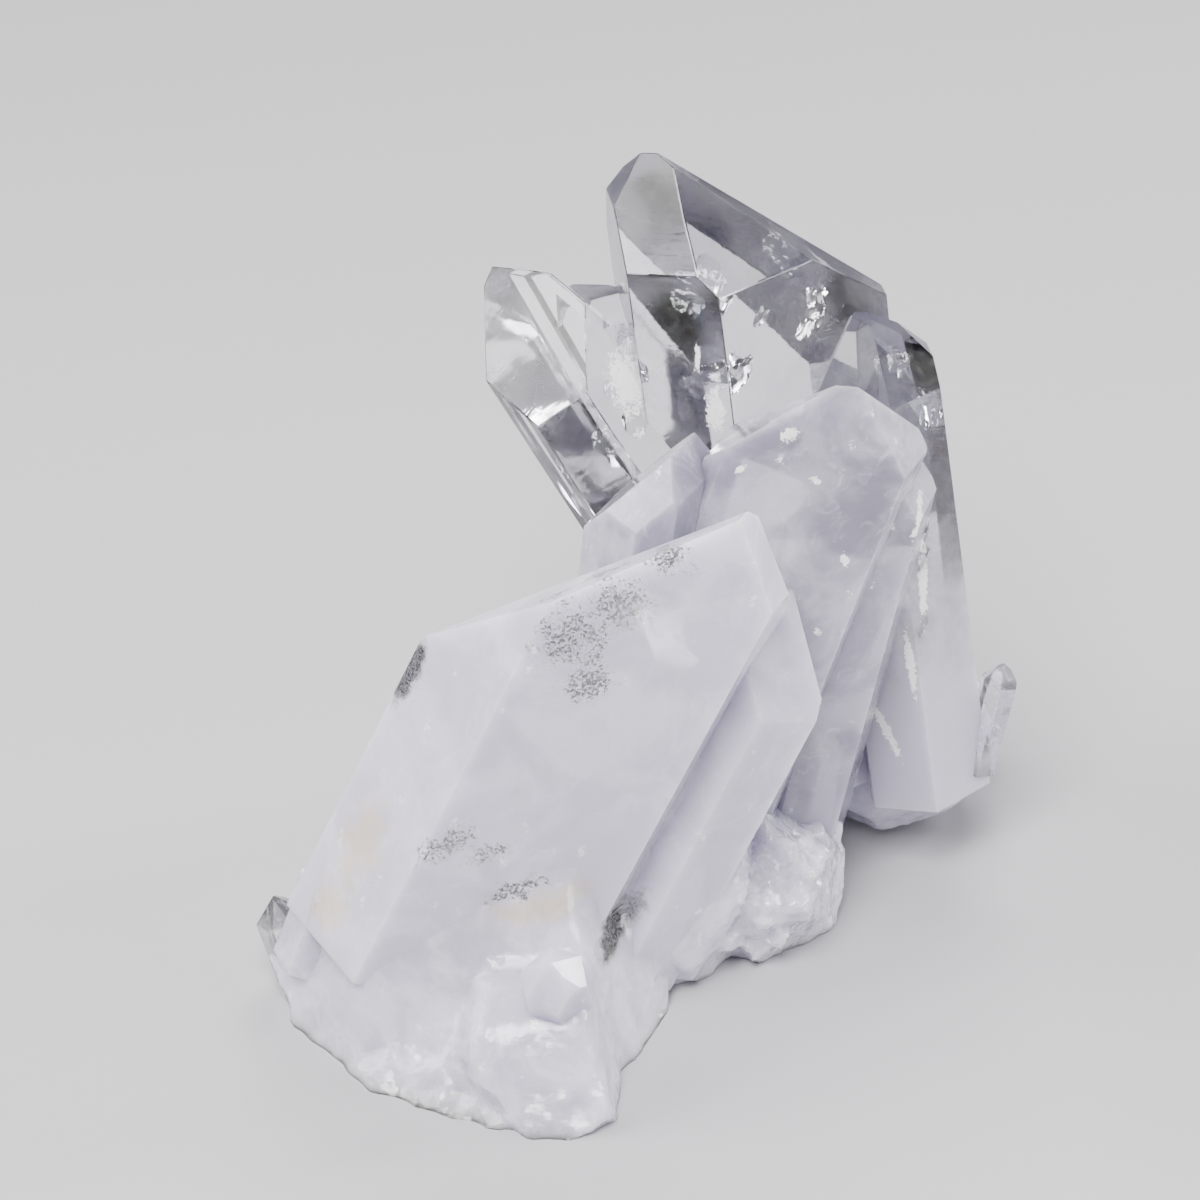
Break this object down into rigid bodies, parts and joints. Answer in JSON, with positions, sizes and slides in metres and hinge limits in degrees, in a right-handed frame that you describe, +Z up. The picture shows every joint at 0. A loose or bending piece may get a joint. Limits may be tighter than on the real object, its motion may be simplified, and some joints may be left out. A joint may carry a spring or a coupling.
{
  "type": "quartz crystal cluster",
  "caption": "Broken-off natural group of clear and milky six-sided quartz points leaning on a rough broken base, a loose specimen that rests on its underside.",
  "frame": {"origin": "centre of the bounding box's footprint, at the height of the resting face", "axes": "+Z up from the resting face, -Y towards the front of the group, +X to its right seen from the front"},
  "size_m": [0.078, 0.0764, 0.0793],
  "materials": {
    "quartz": "glassy growth faces, clear at the tips and milky below, sugary broken base"
  },
  "bodies": {
    "root": {"quartz_cluster": "quartz"}
  },
  "joints": []
}
